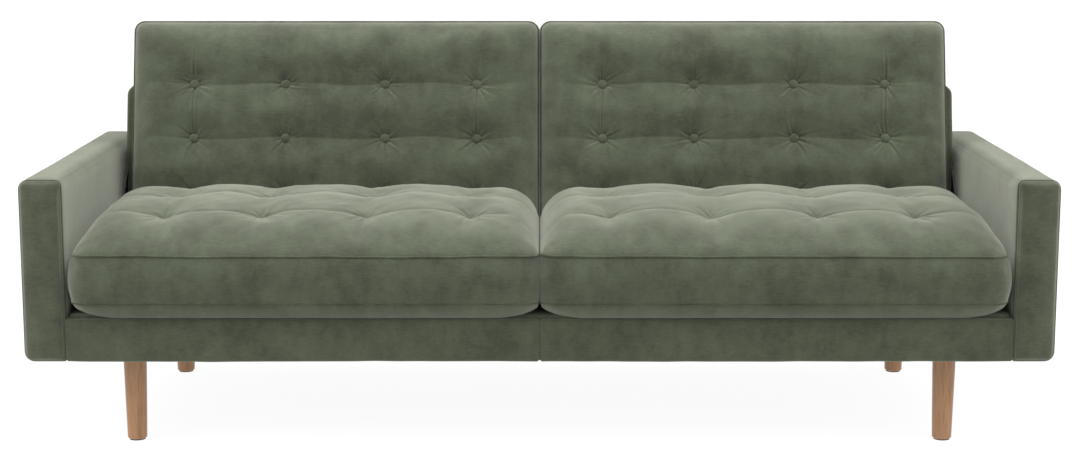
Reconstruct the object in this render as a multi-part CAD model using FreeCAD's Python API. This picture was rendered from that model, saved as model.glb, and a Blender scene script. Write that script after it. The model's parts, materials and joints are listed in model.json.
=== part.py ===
import FreeCAD, Part
import math
import os

os.makedirs("parts", exist_ok=True)

# Two-seat click-clack sofa bed with a split back. Millimetres, +X right, +Y to the back, +Z up.
# The origin is on the floor, under the middle of the sofa's overall box.
# The right half is modelled, and the left half is its mirror image.

# Overall sizes
overallWidth = 2140
overallDepth = 880
cushionOverhang = 22            # the seat cushions stand this far in front of the arms
armFront = cushionOverhang - overallDepth / 2
armRear = overallDepth / 2

# Heights above the floor
glideHeight = 3
legTop = 189
frameBottom = 192
frameTop = 273                  # top of the timber base frame
deckTop = 285                   # top of the slats that carry the seat cushions
seatTop = 486
armBottom = 189
armTop = 567

# Arms
armThickness = 85
armInner = overallWidth / 2 - armThickness
armOuter = overallWidth / 2
padThickness = 12               # wadding and cloth round the arm's timber
frontPanelThickness = 8

# Base frame
railThickness = 30
coverThickness = 6
centreRailWidth = 36
centreGap = 8                   # between the two centre rails, for the hinge plates
endRailInner = 948
baseRear = armRear - 8
midRailFront = armFront + 494

# Legs
legX = 858
frontLegY = armFront + 85
rearLegY = armFront + 710
legTopRadius = 24.75
legFootRadius = 20.5
legBoltRadius = 4

# Seat cushions
seatInner = 2
seatOuter = 968
seatRear = armFront + 500

# Back halves: v runs up the back, n is the height of its front face over the hinge axis
pivotY = armFront + 604
pivotZ = 408
frontFace = 78                  # the cushion's face is level with the seat when the back lies flat
lean = 15                       # degrees back from upright, in the sofa position
backBottom = -93
cushionTop = 442
cushionThickness = 105
backFrameTop = 306
backFrameThickness = 50
boardThickness = 6
cushionInner = 9.5
cushionOuter = 946
coverInner = 8
coverOuter = 972

# Click-clack hinges
plateThickness = 3
armPlateThickness = 4
innerPlateX = 0.5               # inner hinge: plate, then moving arm, outwards from the middle
innerArmX = 4
outerArmX = 972                 # outer hinge: moving arm, then plate, towards the sofa's arm
outerPlateX = 976.5
pinRadius = 5
runningClearance = 0.05
ratchetRadius = 29
pawlRadius = 31
pawlAngle = -18                 # where the pawl stands round the pin, from the back's own v axis
pawlLength = 38
pawlWidth = 12
clickAngles = (-8, 0, 35, 75)   # the back's positions, from its release point to flat
screwRows = (140, 215)
screwRadius = 3

# Buttons
buttonRadius = 11
buttonColumns = (146, 359, 588, 801)
buttonRows = (36, 163, 290)
buttonSink = 10                 # how deep a button's seat lies in the cushion's face


def vec(x, y, z):
    return FreeCAD.Vector(x, y, z)


def box(x0, x1, y0, y1, z0, z1):
    return Part.makeBox(x1 - x0, y1 - y0, z1 - z0, vec(x0, y0, z0))


def rodX(x0, x1, y, z, radius):
    return Part.makeCylinder(radius, x1 - x0, vec(x0, y, z), vec(1, 0, 0))


def rodZ(x, y, z0, z1, radius):
    return Part.makeCylinder(radius, z1 - z0, vec(x, y, z0), vec(0, 0, 1))


def mirrored(shape):
    return shape.mirror(vec(0, 0, 0), vec(1, 0, 0))


def roundedOutline(corners):
    """A closed wire in the YZ plane through corners (y, z, radius), each corner an arc."""
    arcs = []
    count = len(corners)
    for i, (y, z, radius) in enumerate(corners):
        here = vec(0, y, z)
        before = vec(0, *corners[i - 1][:2]).sub(here).normalize()
        after = vec(0, *corners[(i + 1) % count][:2]).sub(here).normalize()
        half = before.getAngle(after) / 2
        reach = radius / math.tan(half)
        middle = before.add(after).normalize()
        centre = here.add(middle.multiply(radius / math.sin(half)))
        start = here.add(vec(*before).multiply(reach))
        end = here.add(vec(*after).multiply(reach))
        top = centre.add(here.sub(centre).normalize().multiply(radius))
        arcs.append((start, top, end))
    edges = []
    for i, (start, top, end) in enumerate(arcs):
        edges.append(Part.Arc(start, top, end).toShape())
        following = arcs[(i + 1) % count][0]
        if end.distanceToPoint(following) > 1e-6:
            edges.append(Part.LineSegment(end, following).toShape())
    return Part.Wire(edges)


def slab(corners, x0, x1):
    """The rounded outline as a plate from x0 to x1."""
    face = Part.Face(roundedOutline(corners))
    solid = face.extrude(vec(x1 - x0, 0, 0))
    solid.translate(vec(x0, 0, 0))
    return solid


def endEdges(solid, x):
    """The edges that lie in the plane at x."""
    flat = []
    for edge in solid.Edges:
        low, high = edge.BoundBox.XMin, edge.BoundBox.XMax
        if abs(low - x) < 1e-4 and abs(high - x) < 1e-4:
            flat.append(edge)
    return flat


def pillow(corners, x0, x1, endRadius):
    """A slab whose two ends are rounded."""
    solid = slab(corners, x0, x1)
    return solid.makeFillet(endRadius, endEdges(solid, x0) + endEdges(solid, x1))


def save(name, *solids):
    shape = solids[0] if len(solids) == 1 else Part.makeCompound(list(solids))
    shape.exportStep("parts/" + name + ".step")


def savePair(name, *solids):
    """Saves the right-hand solids and their mirror image as two nodes."""
    save("right_" + name, *solids)
    save("left_" + name, *[mirrored(solid) for solid in solids])


def saveBoth(name, *solids):
    """Saves the right-hand solids and their mirror image as one node."""
    save(name, *solids, *[mirrored(solid) for solid in solids])


def upright(solid):
    """Turns a solid of the back from lying flat, about the hinge axis, to the sofa position."""
    placed = solid.copy()
    placed.rotate(vec(0, 0, 0), vec(1, 0, 0), 90 - lean)
    placed.translate(vec(0, pivotY, pivotZ))
    return placed


# Base frame: rails, slats and deck

armBoltY = (armFront + 45, armFront + 795)
armBoltZ = 248
armBoltRadius = 4
hingeBoltY = (pivotY - 38, pivotY + 48)
hingeBoltZ = 246
hingeBoltRadius = 3
hingeBoltHead = 6
recessFront = pivotY - 68
recessRear = pivotY + 78
drillClearance = 0.2


def drill(solid, holes):
    """Cuts a list of rods out of a solid."""
    for hole in holes:
        solid = solid.cut(hole)
    return solid


def baseFrame():
    front = armFront + coverThickness
    rear = baseRear - coverThickness
    inside = (front + railThickness, rear - railThickness)
    save("front_rail", box(-armInner + 1, armInner - 1, front, inside[0], frameBottom, frameTop))
    save("rear_rail", box(-armInner + 1, armInner - 1, inside[1], rear, frameBottom, frameTop))

    endRail = box(endRailInner, armInner, inside[0], inside[1], frameBottom, frameTop)
    endRail = endRail.cut(box(outerPlateX, armInner, recessFront, recessRear, frameBottom, frameTop))
    holes = [rodX(endRailInner, outerPlateX, y, hingeBoltZ, hingeBoltRadius + drillClearance)
             for y in hingeBoltY]
    holes += [rodX(endRailInner, armInner, y, armBoltZ, armBoltRadius + drillClearance)
              for y in armBoltY]
    savePair("end_rail", drill(endRail, holes))

    innerFace = centreGap / 2
    outerFace = innerFace + centreRailWidth
    centreRail = box(innerFace, outerFace, inside[0], inside[1], frameBottom, frameTop)
    holes = [rodX(innerFace, outerFace, y, hingeBoltZ, hingeBoltRadius + drillClearance)
             for y in hingeBoltY]
    savePair("centre_rail", drill(centreRail, holes))

    midRail = box(outerFace, endRailInner, midRailFront, midRailFront + railThickness,
                  frameBottom, frameTop)
    saveBoth("mid_rails", midRail)

    slatWidth = 60
    slatCount = 7
    firstSlat = outerFace + 16
    pitch = (endRailInner - firstSlat - slatWidth - 10) / (slatCount - 1)
    slats = []
    for i in range(slatCount):
        x = firstSlat + i * pitch
        slats.append(box(x, x + slatWidth, front + 2, midRailFront + 20, frameTop, deckTop))
    saveBoth("seat_slats", *slats)

    # a cloth over the slats, turned down in front of them
    reach = armInner - 10
    sheet = box(-reach, reach, front + 0.5, midRailFront + 12, deckTop, deckTop + 1)
    turnDown = box(-reach, reach, front + 0.5, front + 1.5, frameTop + 0.5, deckTop)
    save("deck_cloth", sheet.fuse(turnDown).removeSplitter())

    deck = box(centreGap / 2 + 1, armInner - 12, midRailFront + 22, rear - 2, frameTop, deckTop - 2)
    saveBoth("rear_deck_panels", deck)

    dustCover = box(-armInner + 4, armInner - 4, inside[0], inside[1], frameBottom - 1.5, frameBottom)
    for x in (-legX, legX):
        for y in (frontLegY, rearLegY):
            dustCover = dustCover.cut(box(x - 45, x + 45, y - 45, y + 45, legTop, frameBottom))
    save("dust_cover", dustCover)


def railCover(x0, x1, outside, direction):
    """A cloth-covered pad folded over a rail: its face is at outside, and direction leads inwards."""
    depth = coverThickness + railThickness - 2
    lip = 4
    low = frameBottom - lip
    outline = [(outside, low), (outside + direction * depth, low),
               (outside + direction * depth, frameBottom),
               (outside + direction * coverThickness, frameBottom),
               (outside + direction * coverThickness, frameTop + lip),
               (outside, frameTop + lip)]
    points = [vec(x0, y, z) for y, z in outline]
    face = Part.Face(Part.makePolygon(points + points[:1]))
    return face.extrude(vec(x1 - x0, 0, 0))


def railCovers():
    seam = 0.4
    savePair("front_rail_cover", railCover(seam, armInner - 0.4, armFront, 1))
    save("rear_rail_cover", railCover(-armInner + 0.4, armInner - 0.4, baseRear, -1))


# Legs and what holds them

def leg():
    edge = 2
    outline = [vec(0, 0, glideHeight), vec(legFootRadius - edge, 0, glideHeight),
               vec(legFootRadius, 0, glideHeight + edge), vec(legTopRadius, 0, legTop),
               vec(0, 0, legTop)]
    face = Part.Face(Part.makePolygon(outline + outline[:1]))
    turned = face.revolve(vec(0, 0, 0), vec(0, 0, 1), 360)
    return turned.cut(rodZ(0, 0, legTop - 42, legTop, legBoltRadius + 0.1))


def legs():
    plateHalf = 40
    plates = []
    bolts = []
    glides = []
    blocks = []
    for y, name in ((frontLegY, "front"), (rearLegY, "rear")):
        turned = leg()
        turned.translate(vec(legX, y, 0))
        save(name + "_right_leg", turned)
        save(name + "_left_leg", mirrored(turned))
        plate = box(legX - plateHalf, legX + plateHalf, y - plateHalf, y + plateHalf,
                    legTop, frameBottom)
        plates.append(plate.cut(rodZ(legX, y, legTop, frameBottom, legBoltRadius + 0.1)))
        bolts.append(rodZ(legX, y, legTop - 40, frameBottom + 32, legBoltRadius))
        glides.append(rodZ(legX, y, 0, glideHeight, legFootRadius - 3.5))
    blockX = (legX - 60, endRailInner)
    blockY = ((armFront + coverThickness + railThickness, frontLegY + 60),
              (rearLegY - 60, baseRear - coverThickness - railThickness))
    for (y0, y1), y in zip(blockY, (frontLegY, rearLegY)):
        block = box(*blockX, y0, y1, frameBottom, frameBottom + 40)
        blocks.append(block.cut(rodZ(legX, y, frameBottom, frameBottom + 34, legBoltRadius + 0.1)))
    saveBoth("leg_plates", *plates)
    saveBoth("leg_bolts", *bolts)
    saveBoth("leg_glides", *glides)
    saveBoth("corner_blocks", *blocks)


# Arms: a timber frame inside a padded cover, with a separate panel on the front

def armFrames():
    inner = armInner + padThickness + 2
    outer = armOuter - padThickness - 2
    postDepth = 50
    railBottom = armTop - padThickness - 50
    bottom = armBottom + padThickness
    bolts = []
    for name, y in zip(("front", "rear"), armBoltY):
        post = box(inner, outer, y - postDepth / 2, y + postDepth / 2, bottom, railBottom)
        hole = rodX(inner, inner + 40, y, armBoltZ, armBoltRadius + drillClearance)
        savePair("arm_" + name + "_post", post.cut(hole))
        shank = rodX(endRailInner, inner + 38, y, armBoltZ, armBoltRadius)
        head = rodX(endRailInner - 5, endRailInner, y, armBoltZ, 2 * armBoltRadius)
        bolts.append(shank.fuse(head))
    topRail = box(inner, outer, armBoltY[0] - postDepth / 2, armBoltY[1] + postDepth / 2,
                  railBottom, armTop - padThickness - 2)
    savePair("arm_top_rail", topRail)
    saveBoth("arm_bolts", *bolts)


def armCovers():
    front = armFront + frontPanelThickness
    rounding = 10
    cover = box(armInner, armOuter, front, armRear, armBottom, armTop)
    outerEdges = [edge for edge in cover.Edges if edge.BoundBox.YMax > front + 1]
    cover = cover.makeFillet(rounding, outerEdges)
    cover = cover.cut(box(armInner + padThickness, armOuter - padThickness, front + padThickness,
                          armRear - padThickness, armBottom + padThickness, armTop - padThickness))
    holes = [rodX(armInner, armInner + padThickness, y, armBoltZ, armBoltRadius + drillClearance)
             for y in armBoltY]
    savePair("arm_cover", drill(cover, holes))

    panel = box(armInner, armOuter, armFront, front, armBottom, armTop)
    alongY = [edge for edge in panel.Edges if edge.BoundBox.YLength > frontPanelThickness / 2]
    savePair("arm_front_panel", panel.makeFillet(rounding, alongY))


# Seat cushions

def seatCushions():
    front = armFront - cushionOverhang
    bottom = deckTop + 1
    corners = [(front, bottom, 30), (seatRear, bottom, 15), (seatRear, seatTop, 40),
               (front, seatTop, 50)]
    savePair("seat_cushion", pillow(corners, seatInner, seatOuter, 12))


# Back halves, modelled lying flat about the hinge axis and then turned upright

def backCushions():
    back = frontFace - cushionThickness
    corners = [(backBottom, back, 12), (cushionTop, back, 15), (cushionTop, frontFace, 20),
               (backBottom, frontFace, 55)]
    cushion = pillow(corners, cushionInner, cushionOuter, 10)
    seat = frontFace - buttonSink
    buttons = []
    for x in buttonColumns:
        for v in buttonRows:
            cushion = cushion.cut(rodZ(x, v, seat, frontFace + 1, buttonRadius + 4))
            stem = rodZ(x, v, seat, seat + 2, buttonRadius - 2)
            crown = Part.makeSphere(buttonRadius, vec(0, 0, 0), vec(0, 0, 1), 0, 90, 360)
            squash = FreeCAD.Matrix()
            squash.scale(1, 1, 0.4)
            crown = crown.transformGeometry(squash)
            crown.translate(vec(x, v, seat + 2))
            buttons.append(stem.fuse(crown))
    savePair("back_cushion", upright(cushion))
    savePair("back_buttons", *[upright(button) for button in buttons])


def backFrames():
    top = backFrameTop - coverThickness
    low = backBottom + 4 + coverThickness
    front = frontFace - cushionThickness
    rear = front - backFrameThickness + coverThickness
    timberFront = front - boardThickness
    inner = coverInner + coverThickness
    outer = coverOuter - coverThickness
    width = 60

    savePair("back_board", upright(box(inner, outer, low, top, timberFront, front)))
    savePair("back_top_rail", upright(box(inner, outer, top - width, top, rear, timberFront)))
    savePair("back_bottom_rail", upright(box(inner, outer, low, low + width, rear, timberFront)))
    screwHoles = [(v, -(cushionThickness + backFrameThickness / 2 - frontFace)) for v in screwRows]
    stiles = {"inner": (inner, inner + width), "outer": (outer - width, outer)}
    for name, (x0, x1) in stiles.items():
        stile = box(x0, x1, low + width, top - width, rear, timberFront)
        holes = [rodX(x0, x1, v, n, screwRadius + drillClearance) for v, n in screwHoles]
        savePair("back_" + name + "_stile", upright(drill(stile, holes)))

    shellLow = backBottom + 4
    rearFace = front - backFrameThickness
    corners = [(shellLow, rearFace, 24), (backFrameTop, rearFace, 24), (backFrameTop, front, 4),
               (shellLow, front, 4)]
    shell = slab(corners, coverInner, coverOuter)
    shell = shell.cut(box(inner, outer, low, top, rear, front + 1))
    holes = []
    for v, n in screwHoles:
        holes.append(rodX(coverInner, inner, v, n, screwRadius + drillClearance))
        holes.append(rodX(outer, coverOuter, v, n, screwRadius + drillClearance))
    savePair("back_cover", upright(drill(shell, holes)))


# Hinges: a plate on the base with a ratchet round the pin, and an arm on each side of each half

def hingePlate(x0, x1):
    y, z = pivotY, pivotZ
    corners = [(y - 60, frameBottom + 6, 8), (y + 70, frameBottom + 6, 8), (y + 70, frameTop - 3, 12),
               (y + 22, z - 80, 18), (y + 22, z, 6), (y - 22, z, 6), (y - 22, z - 80, 18),
               (y - 60, frameTop - 3, 12)]
    plate = slab(corners, x0, x1)
    plate = plate.fuse(rodX(x0, x1, y, z, ratchetRadius))
    for angle in clickAngles:
        notch = box(x0, x1, ratchetRadius - 3, ratchetRadius + 3, -3, 3)
        notch.rotate(vec(0, 0, 0), vec(1, 0, 0), 90 - lean + pawlAngle - angle)
        notch.translate(vec(0, y, z))
        plate = plate.cut(notch)
    holes = [rodX(x0, x1, y, z, pinRadius)]
    holes += [rodX(x0, x1, boltY, hingeBoltZ, hingeBoltRadius + drillClearance) for boltY in hingeBoltY]
    return drill(plate, holes).removeSplitter()


def hingeArm(x0, x1):
    corners = [(-20, 20, 18), (24, 20, 16), (84, -8, 14), (112, -34, 14), (246, -34, 8),
               (246, -70, 8), (30, -70, 16), (-20, -24, 18)]
    holes = [rodX(x0, x1, 0, 0, pinRadius + runningClearance)]
    middle = frontFace - cushionThickness - backFrameThickness / 2
    holes += [rodX(x0, x1, v, middle, screwRadius + drillClearance) for v in screwRows]
    return drill(slab(corners, x0, x1), holes)


def pawl(x0, x1):
    """A rounded lever lying along the radius, its tip just clear of the ratchet."""
    near, far = pawlRadius, pawlRadius + pawlLength
    half = pawlWidth / 2
    corners = [(near, -3, 2), (near + 8, -half, 4), (far, -half, half - 0.1), (far, half, half - 0.1),
               (near + 8, half, 4), (near, 3, 2)]
    return slab(corners, x0, x1)


def pawlSpring(x0, x1):
    """A leaf spring that bears on the pawl's side."""
    near = pawlRadius + 12
    side = pawlWidth / 2
    return box(x0, x1, near, near + pawlLength - 14, side, side + 1)


def turned(solid):
    solid.rotate(vec(0, 0, 0), vec(1, 0, 0), pawlAngle)
    return solid


def hinges():
    innerPlate = hingePlate(innerPlateX, innerPlateX + plateThickness)
    outerPlate = hingePlate(outerPlateX, outerPlateX + plateThickness)
    saveBoth("inner_hinge_plates", innerPlate)
    saveBoth("outer_hinge_plates", outerPlate)

    innerEnd = innerArmX + armPlateThickness
    savePair("hinge_arms", upright(hingeArm(innerArmX, innerEnd)),
             upright(hingeArm(outerArmX, outerArmX + armPlateThickness)))

    innerPawl = (innerPlateX + 0.5, innerArmX)
    outerPawl = (outerArmX + armPlateThickness, outerPlateX + plateThickness - 0.5)
    levers = [upright(turned(pawl(*span))) for span in (innerPawl, outerPawl)]
    springs = [upright(turned(pawlSpring(*span))) for span in (innerPawl, outerPawl)]
    savePair("hinge_pawls", *levers, *springs)

    endGap = 0.3
    innerPin = rodX(innerPlateX, innerEnd + endGap, pivotY, pivotZ, pinRadius)
    innerHead = rodX(innerEnd + endGap, innerEnd + endGap + 0.7, pivotY, pivotZ, pinRadius + 3)
    outerPin = rodX(outerArmX - endGap, outerPlateX + plateThickness, pivotY, pivotZ, pinRadius)
    outerHead = rodX(outerArmX - endGap - 3, outerArmX - endGap, pivotY, pivotZ, pinRadius + 4)
    saveBoth("hinge_pins", innerPin.fuse(innerHead), outerPin.fuse(outerHead))

    screwLength = 34
    headHeight = 2
    middle = frontFace - cushionThickness - backFrameThickness / 2
    screws = []
    for v in screwRows:
        innerShank = rodX(innerArmX, innerArmX + screwLength, v, middle, screwRadius)
        innerCap = rodX(innerArmX - headHeight, innerArmX, v, middle, 2 * screwRadius)
        outerFace = outerArmX + armPlateThickness
        outerShank = rodX(outerFace - screwLength, outerFace, v, middle, screwRadius)
        outerCap = rodX(outerFace, outerFace + headHeight, v, middle, 2 * screwRadius)
        screws += [upright(innerShank.fuse(innerCap)), upright(outerShank.fuse(outerCap))]
    savePair("hinge_screws", *screws)

    bolts = []
    centreFace = centreGap / 2 + centreRailWidth
    plateFace = outerPlateX + plateThickness
    for y in hingeBoltY:
        through = rodX(-centreFace - 4, centreFace + 4, y, hingeBoltZ, hingeBoltRadius)
        for side in (-1, 1):
            ends = sorted((side * centreFace, side * (centreFace + 4)))
            through = through.fuse(rodX(*ends, y, hingeBoltZ, hingeBoltHead))
        bolts.append(through)
        outer = rodX(endRailInner - 4, plateFace + 3, y, hingeBoltZ, hingeBoltRadius)
        outer = outer.fuse(rodX(plateFace, plateFace + 3, y, hingeBoltZ, hingeBoltHead))
        outer = outer.fuse(rodX(endRailInner - 4, endRailInner, y, hingeBoltZ, hingeBoltHead))
        bolts += [outer, mirrored(outer)]
    save("hinge_bolts", *bolts)


baseFrame()
railCovers()
legs()
armFrames()
armCovers()
seatCushions()
backCushions()
backFrames()
hinges()
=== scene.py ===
import json
import math
import bpy
import numpy as np
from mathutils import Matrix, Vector


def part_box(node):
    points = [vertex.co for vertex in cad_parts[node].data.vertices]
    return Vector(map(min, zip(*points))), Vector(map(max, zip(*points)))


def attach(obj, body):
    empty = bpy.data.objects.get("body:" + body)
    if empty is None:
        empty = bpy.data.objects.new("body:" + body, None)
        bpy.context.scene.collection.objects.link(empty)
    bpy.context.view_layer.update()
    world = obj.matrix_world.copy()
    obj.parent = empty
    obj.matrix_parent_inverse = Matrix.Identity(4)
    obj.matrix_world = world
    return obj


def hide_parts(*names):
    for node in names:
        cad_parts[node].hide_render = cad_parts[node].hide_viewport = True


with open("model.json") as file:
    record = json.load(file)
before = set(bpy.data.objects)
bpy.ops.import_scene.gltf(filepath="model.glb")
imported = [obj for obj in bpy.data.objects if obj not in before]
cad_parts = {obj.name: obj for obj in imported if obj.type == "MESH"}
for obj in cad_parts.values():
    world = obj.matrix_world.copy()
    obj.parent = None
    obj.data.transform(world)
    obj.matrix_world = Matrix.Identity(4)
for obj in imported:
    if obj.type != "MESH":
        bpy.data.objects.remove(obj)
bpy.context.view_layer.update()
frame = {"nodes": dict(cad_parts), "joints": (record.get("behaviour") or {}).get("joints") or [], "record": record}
scene = bpy.context.scene


def meshPoints(mesh):
    # vertex positions as an array
    flat = np.empty(len(mesh.vertices) * 3, np.float32)
    mesh.vertices.foreach_get("co", flat)
    return flat.reshape(-1, 3).astype(float)


def newPiece(name, points, faces, material=None):
    mesh = bpy.data.meshes.new(name)
    mesh.from_pydata(points.tolist(), [], faces.tolist())
    mesh.polygons.foreach_set("use_smooth", np.ones(len(faces), bool))
    mesh.update()
    piece = bpy.data.objects.new(name, mesh)
    scene.collection.objects.link(piece)
    if material:
        mesh.materials.append(material)
    return piece


def gridFaces(rows, columns, closeRows=False, closeColumns=False):
    # quads between neighbours of a rows by columns grid, the last joined to the first where closed
    i, j = np.meshgrid(np.arange(rows - (not closeRows)), np.arange(columns - (not closeColumns)),
                       indexing="ij")
    nextI, nextJ = (i + 1) % rows, (j + 1) % columns
    quads = np.stack([i * columns + j, nextI * columns + j, nextI * columns + nextJ, i * columns + nextJ], -1)
    return quads.reshape(-1, 4)


def boxLattice(counts):
    # whole-number points on the skin of a box of counts cells, and its outward quads, welded at the edges
    quads = []
    for axis in range(3):
        u, v = ((1, 2), (2, 0), (0, 1))[axis]
        i, j = np.meshgrid(np.arange(counts[u]), np.arange(counts[v]), indexing="ij")
        for side in (0, counts[axis]):
            corners = np.zeros(i.shape + (4, 3), int)
            for k, (stepU, stepV) in enumerate(((0, 0), (1, 0), (1, 1), (0, 1))):
                corners[..., k, axis] = side
                corners[..., k, u] = i + stepU
                corners[..., k, v] = j + stepV
            quads.append((corners if side else corners[..., ::-1, :]).reshape(-1, 4, 3))
    lattice, index = np.unique(np.concatenate(quads).reshape(-1, 3), axis=0, return_inverse=True)
    return lattice, index.reshape(-1, 4)


def quarterRise(distance, reach, power=2.0):
    # a quarter ellipse: 0 at the seam, 1 from reach inwards; a power above 2 gives a fuller shoulder
    share = np.clip(distance / reach, 0, 1)
    return (1 - (1 - share) ** power) ** (1 / power)


def smoothStep(value, low, high):
    # 0 up to low, 1 from high, and three times the share squared less twice its cube between them
    share = np.clip((value - low) / (high - low), 0, 1)
    return share * share * (3 - 2 * share)


def waves(points, seed, longest, count=7):
    # gentle unevenness from -1 to 1: a sum of sine waves in seeded directions, the longest first
    rng = np.random.default_rng(seed)
    total = np.zeros(len(points))
    for k in range(count):
        direction = rng.normal(size=3)
        direction *= 2 * math.pi / (longest * 0.72 ** k * np.linalg.norm(direction))
        total += np.sin(points @ direction + rng.uniform(0, 6.28)) * 0.8 ** k
    return total / 2.4


def tube(name, path, radius, normal, material, sides=8):
    # a welt: a circle carried round a closed path, square to it, with normal as the way up
    along = np.roll(path, -1, 0) - np.roll(path, 1, 0)
    along /= np.linalg.norm(along, axis=1, keepdims=True)
    across = np.cross(along, normal)
    across /= np.linalg.norm(across, axis=1, keepdims=True)
    up = np.cross(across, along)
    turn = np.linspace(0, 2 * math.pi, sides, endpoint=False)
    ring = across[:, None] * np.cos(turn)[None, :, None] + up[:, None] * np.sin(turn)[None, :, None]
    points = (path[:, None] + radius * ring).reshape(-1, 3)
    return newPiece(name, points, gridFaces(len(path), sides, True, True)[:, ::-1], material)


def newMaterial(name):
    material = bpy.data.materials.new(name)
    material.use_nodes = True
    return material, material.node_tree.nodes, material.node_tree.links, \
        material.node_tree.nodes["Principled BSDF"]


def mathNode(nodes, links, operation, first, second):
    node = nodes.new("ShaderNodeMath")
    node.operation = operation
    for socket, value in zip(node.inputs, (first, second)):
        if hasattr(value, "links"):
            links.new(value, socket)
        else:
            socket.default_value = value
    return node.outputs[0]


def blended(nodes, links, first, second, shares):
    # the first times its share plus the second times its own
    return mathNode(nodes, links, "ADD", mathNode(nodes, links, "MULTIPLY", first, shares[0]),
                    mathNode(nodes, links, "MULTIPLY", second, shares[1]))


def noiseAt(nodes, links, vector, stretch, scale, detail, roughness):
    mapping = nodes.new("ShaderNodeMapping")
    mapping.inputs["Scale"].default_value = stretch
    links.new(vector, mapping.inputs["Vector"])
    noise = nodes.new("ShaderNodeTexNoise")
    noise.inputs["Scale"].default_value = scale
    noise.inputs["Detail"].default_value = detail
    noise.inputs["Roughness"].default_value = roughness
    links.new(mapping.outputs[0], noise.inputs["Vector"])
    return noise.outputs["Fac"]


def colourRamp(nodes, links, factor, stops):
    ramp = nodes.new("ShaderNodeValToRGB")
    while len(ramp.color_ramp.elements) < len(stops):
        ramp.color_ramp.elements.new(0.5)
    for element, (place, colour) in zip(ramp.color_ramp.elements, stops):
        element.position = place
        element.color = (*colour, 1)
    links.new(factor, ramp.inputs[0])
    return ramp.outputs[0]


def addBump(nodes, links, shader, height, distance, strength):
    bump = nodes.new("ShaderNodeBump")
    bump.inputs["Distance"].default_value = distance
    bump.inputs["Strength"].default_value = strength
    links.new(height, bump.inputs["Height"])
    links.new(bump.outputs[0], shader.inputs["Normal"])


def newGroup(name, inputs, outputs):
    group = bpy.data.node_groups.new(name, "ShaderNodeTree")
    for label, kind in inputs:
        group.interface.new_socket(label, in_out="INPUT", socket_type=kind)
    for label, kind in outputs:
        group.interface.new_socket(label, in_out="OUTPUT", socket_type=kind)
    nodes = group.nodes
    return group, nodes, group.links, nodes.new("NodeGroupInput").outputs, nodes.new("NodeGroupOutput").inputs


# each noise is a stretch, a scale, a detail and a roughness; each mix is the shares of its two parts
pileLook = dict(patches=((1, 1, 1.3), 9, 4, 0.62), brushed=((1, 0.7, 0.45), 34, 3, 0.6),
                weft=((0.24, 0.5, 1), 300, 3, 0.65), warp=((1, 0.5, 0.16), 460, 2, 0.6),
                tips=((1, 1, 1), 1500, 1, 0.5), napMix=(0.62, 0.38), threadMix=(0.70, 0.30), mix=(0.66, 0.34),
                darkest=0.41, lightest=0.59, heightMix=(0.7, 0.5))


def velvetPile():
    # brushed patches, streaks along both threads and the tips of the pile, as a colour and a height
    look = pileLook
    group, nodes, links, given, out = newGroup(
        "velvetPile", [("Vector", "NodeSocketVector"), ("Dark", "NodeSocketColor"), ("Light", "NodeSocketColor")],
        [("Colour", "NodeSocketColor"), ("Height", "NodeSocketFloat")])
    patches, brushed, weft, warp, tips = [noiseAt(nodes, links, given["Vector"], *look[kind])
                                          for kind in ("patches", "brushed", "weft", "warp", "tips")]
    nap = blended(nodes, links, patches, brushed, look["napMix"])
    threads = blended(nodes, links, weft, warp, look["threadMix"])
    mixed = blended(nodes, links, nap, threads, look["mix"])
    ranged = nodes.new("ShaderNodeMapRange")
    ranged.inputs["From Min"].default_value = look["darkest"]
    ranged.inputs["From Max"].default_value = look["lightest"]
    links.new(mixed, ranged.inputs["Value"])
    mix = nodes.new("ShaderNodeMix")
    mix.data_type = "RGBA"
    links.new(ranged.outputs[0], mix.inputs["Factor"])
    links.new(given["Dark"], mix.inputs["A"])
    links.new(given["Light"], mix.inputs["B"])
    links.new(mix.outputs["Result"], out["Colour"])
    links.new(blended(nodes, links, threads, tips, look["heightMix"]), out["Height"])
    return group


pileGroup = velvetPile()

velvetLook = dict(dark=(0.0270, 0.0328, 0.0178), light=(0.0565, 0.0683, 0.0400), sheen=0.49, sheenRoughness=0.59,
                  sheenTint=(0.82, 0.84, 0.725), roughness=0.85, specular=0.12, bump=(0.0008, 0.5))


def velvetMaterial(name, sheenShare=1.0):
    material, nodes, links, shader = newMaterial(name)
    look = velvetLook
    pile = nodes.new("ShaderNodeGroup")
    pile.node_tree = pileGroup
    pile.inputs["Dark"].default_value = (*look["dark"], 1)
    pile.inputs["Light"].default_value = (*look["light"], 1)
    links.new(nodes.new("ShaderNodeTexCoord").outputs["Object"], pile.inputs["Vector"])
    links.new(pile.outputs["Colour"], shader.inputs["Base Color"])
    addBump(nodes, links, shader, pile.outputs["Height"], *look["bump"])
    shader.inputs["Roughness"].default_value = look["roughness"]
    shader.inputs["Specular IOR Level"].default_value = look["specular"]
    shader.inputs["Sheen Weight"].default_value = look["sheen"] * sheenShare
    shader.inputs["Sheen Roughness"].default_value = look["sheenRoughness"]
    shader.inputs["Sheen Tint"].default_value = (*look["sheenTint"], 1)
    return material


velvet = velvetMaterial("sageVelvet")
shadedWeltVelvet = velvetMaterial("shadedWeltVelvet", sheenShare=0.38)      # the velvet with its sheen cut, so the cords read darker: painted shade for the dark groove along each seam


woodGrain = dict(along=0.05, figure=(38, 4, 0.6), pores=(420, 2, 0.6), stops=(0.32, 0.5, 0.7), late=0.86,
                 poreColour=(0.55, 0.5, 0.45), poreStops=(0.36, 0.52), poreShare=0.6, bump=(0.0004, 0.4),
                 coatRoughness=0.3)


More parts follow.
